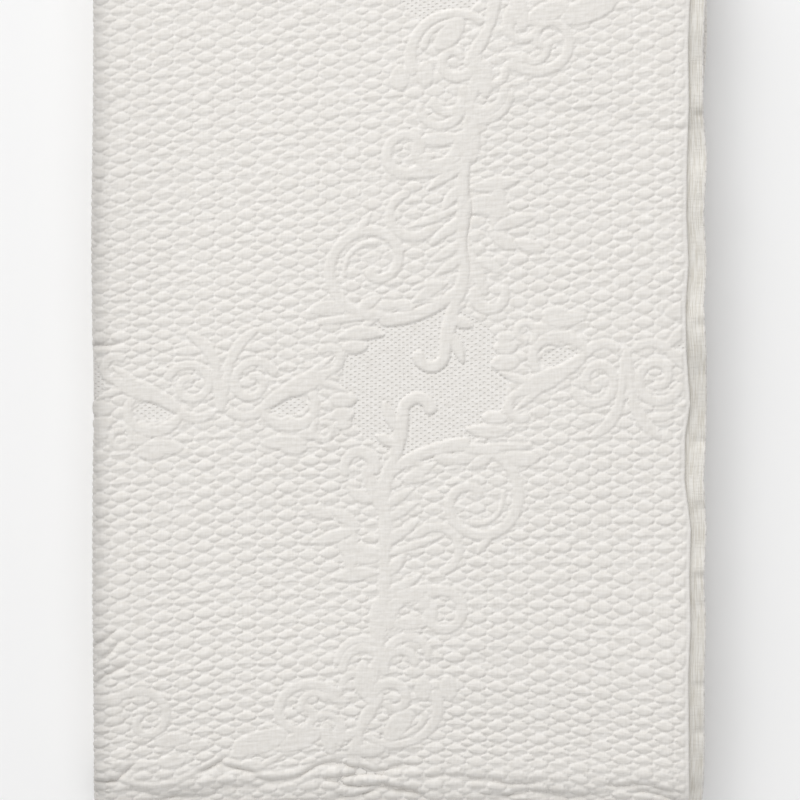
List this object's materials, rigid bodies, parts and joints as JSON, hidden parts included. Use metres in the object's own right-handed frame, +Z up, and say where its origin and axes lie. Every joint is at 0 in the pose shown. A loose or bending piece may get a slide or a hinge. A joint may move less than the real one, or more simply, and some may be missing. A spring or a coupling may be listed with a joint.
{
  "type": "folded coverlet",
  "caption": "White puffed jacquard bed coverlet with scroll ornament, folded into a flat rectangular stack with its hems along one long side.",
  "frame": {"origin": "centre of the folded stack's footprint, on the surface it rests on", "axes": "+Y along the stack from the loose outer fold to the hemmed ends, +X towards the long side where the hems show, +Z up"},
  "size_m": [0.4438, 0.6642, 0.052],
  "materials": {
    "puffed_cotton": "matt off-white cotton double cloth, puffed in small lens-shaped cells around smooth raised scrolls"
  },
  "bodies": {
    "root": {"coverlet": "puffed_cotton"}
  },
  "joints": []
}
